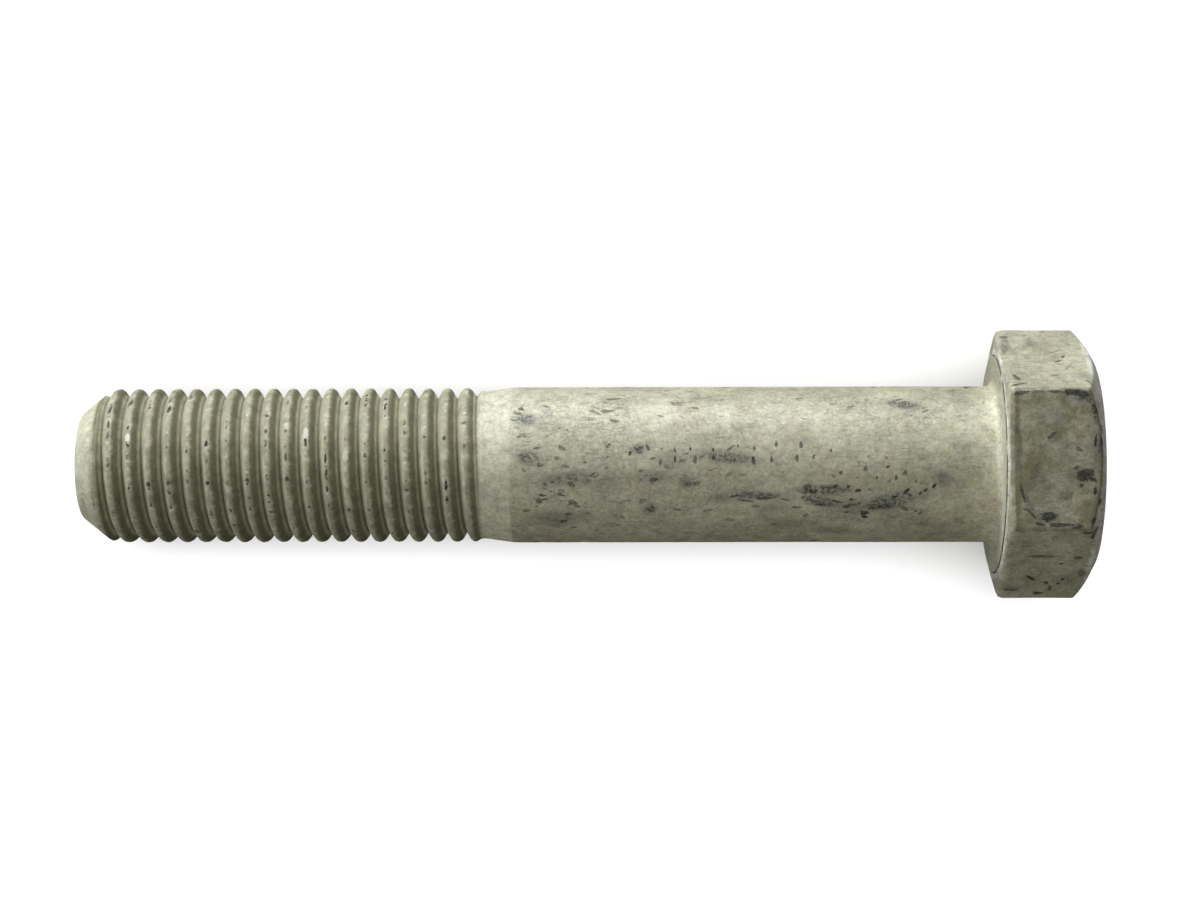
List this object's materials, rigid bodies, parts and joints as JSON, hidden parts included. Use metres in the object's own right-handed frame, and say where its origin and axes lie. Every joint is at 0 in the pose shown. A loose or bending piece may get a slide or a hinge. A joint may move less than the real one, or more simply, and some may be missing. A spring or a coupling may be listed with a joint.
{
  "type": "hex bolt",
  "caption": "Long hex head bolt with a plain shank, a bare neck and a coarse right-hand thread, for clamping structural joints.",
  "frame": {"origin": "centre of the bearing face, the side of the head that clamps, on the bolt's axis", "axes": "+X along the axis towards the outer side of the head, so the shank and the tip point to -X; +Z is normal to one of the six flats"},
  "size_m": [0.1554, 0.0412, 0.036],
  "materials": {
    "coated_steel": "dull grey coating with an olive cast, stained and nicked"
  },
  "bodies": {
    "root": {"bolt": "coated_steel"}
  },
  "joints": []
}
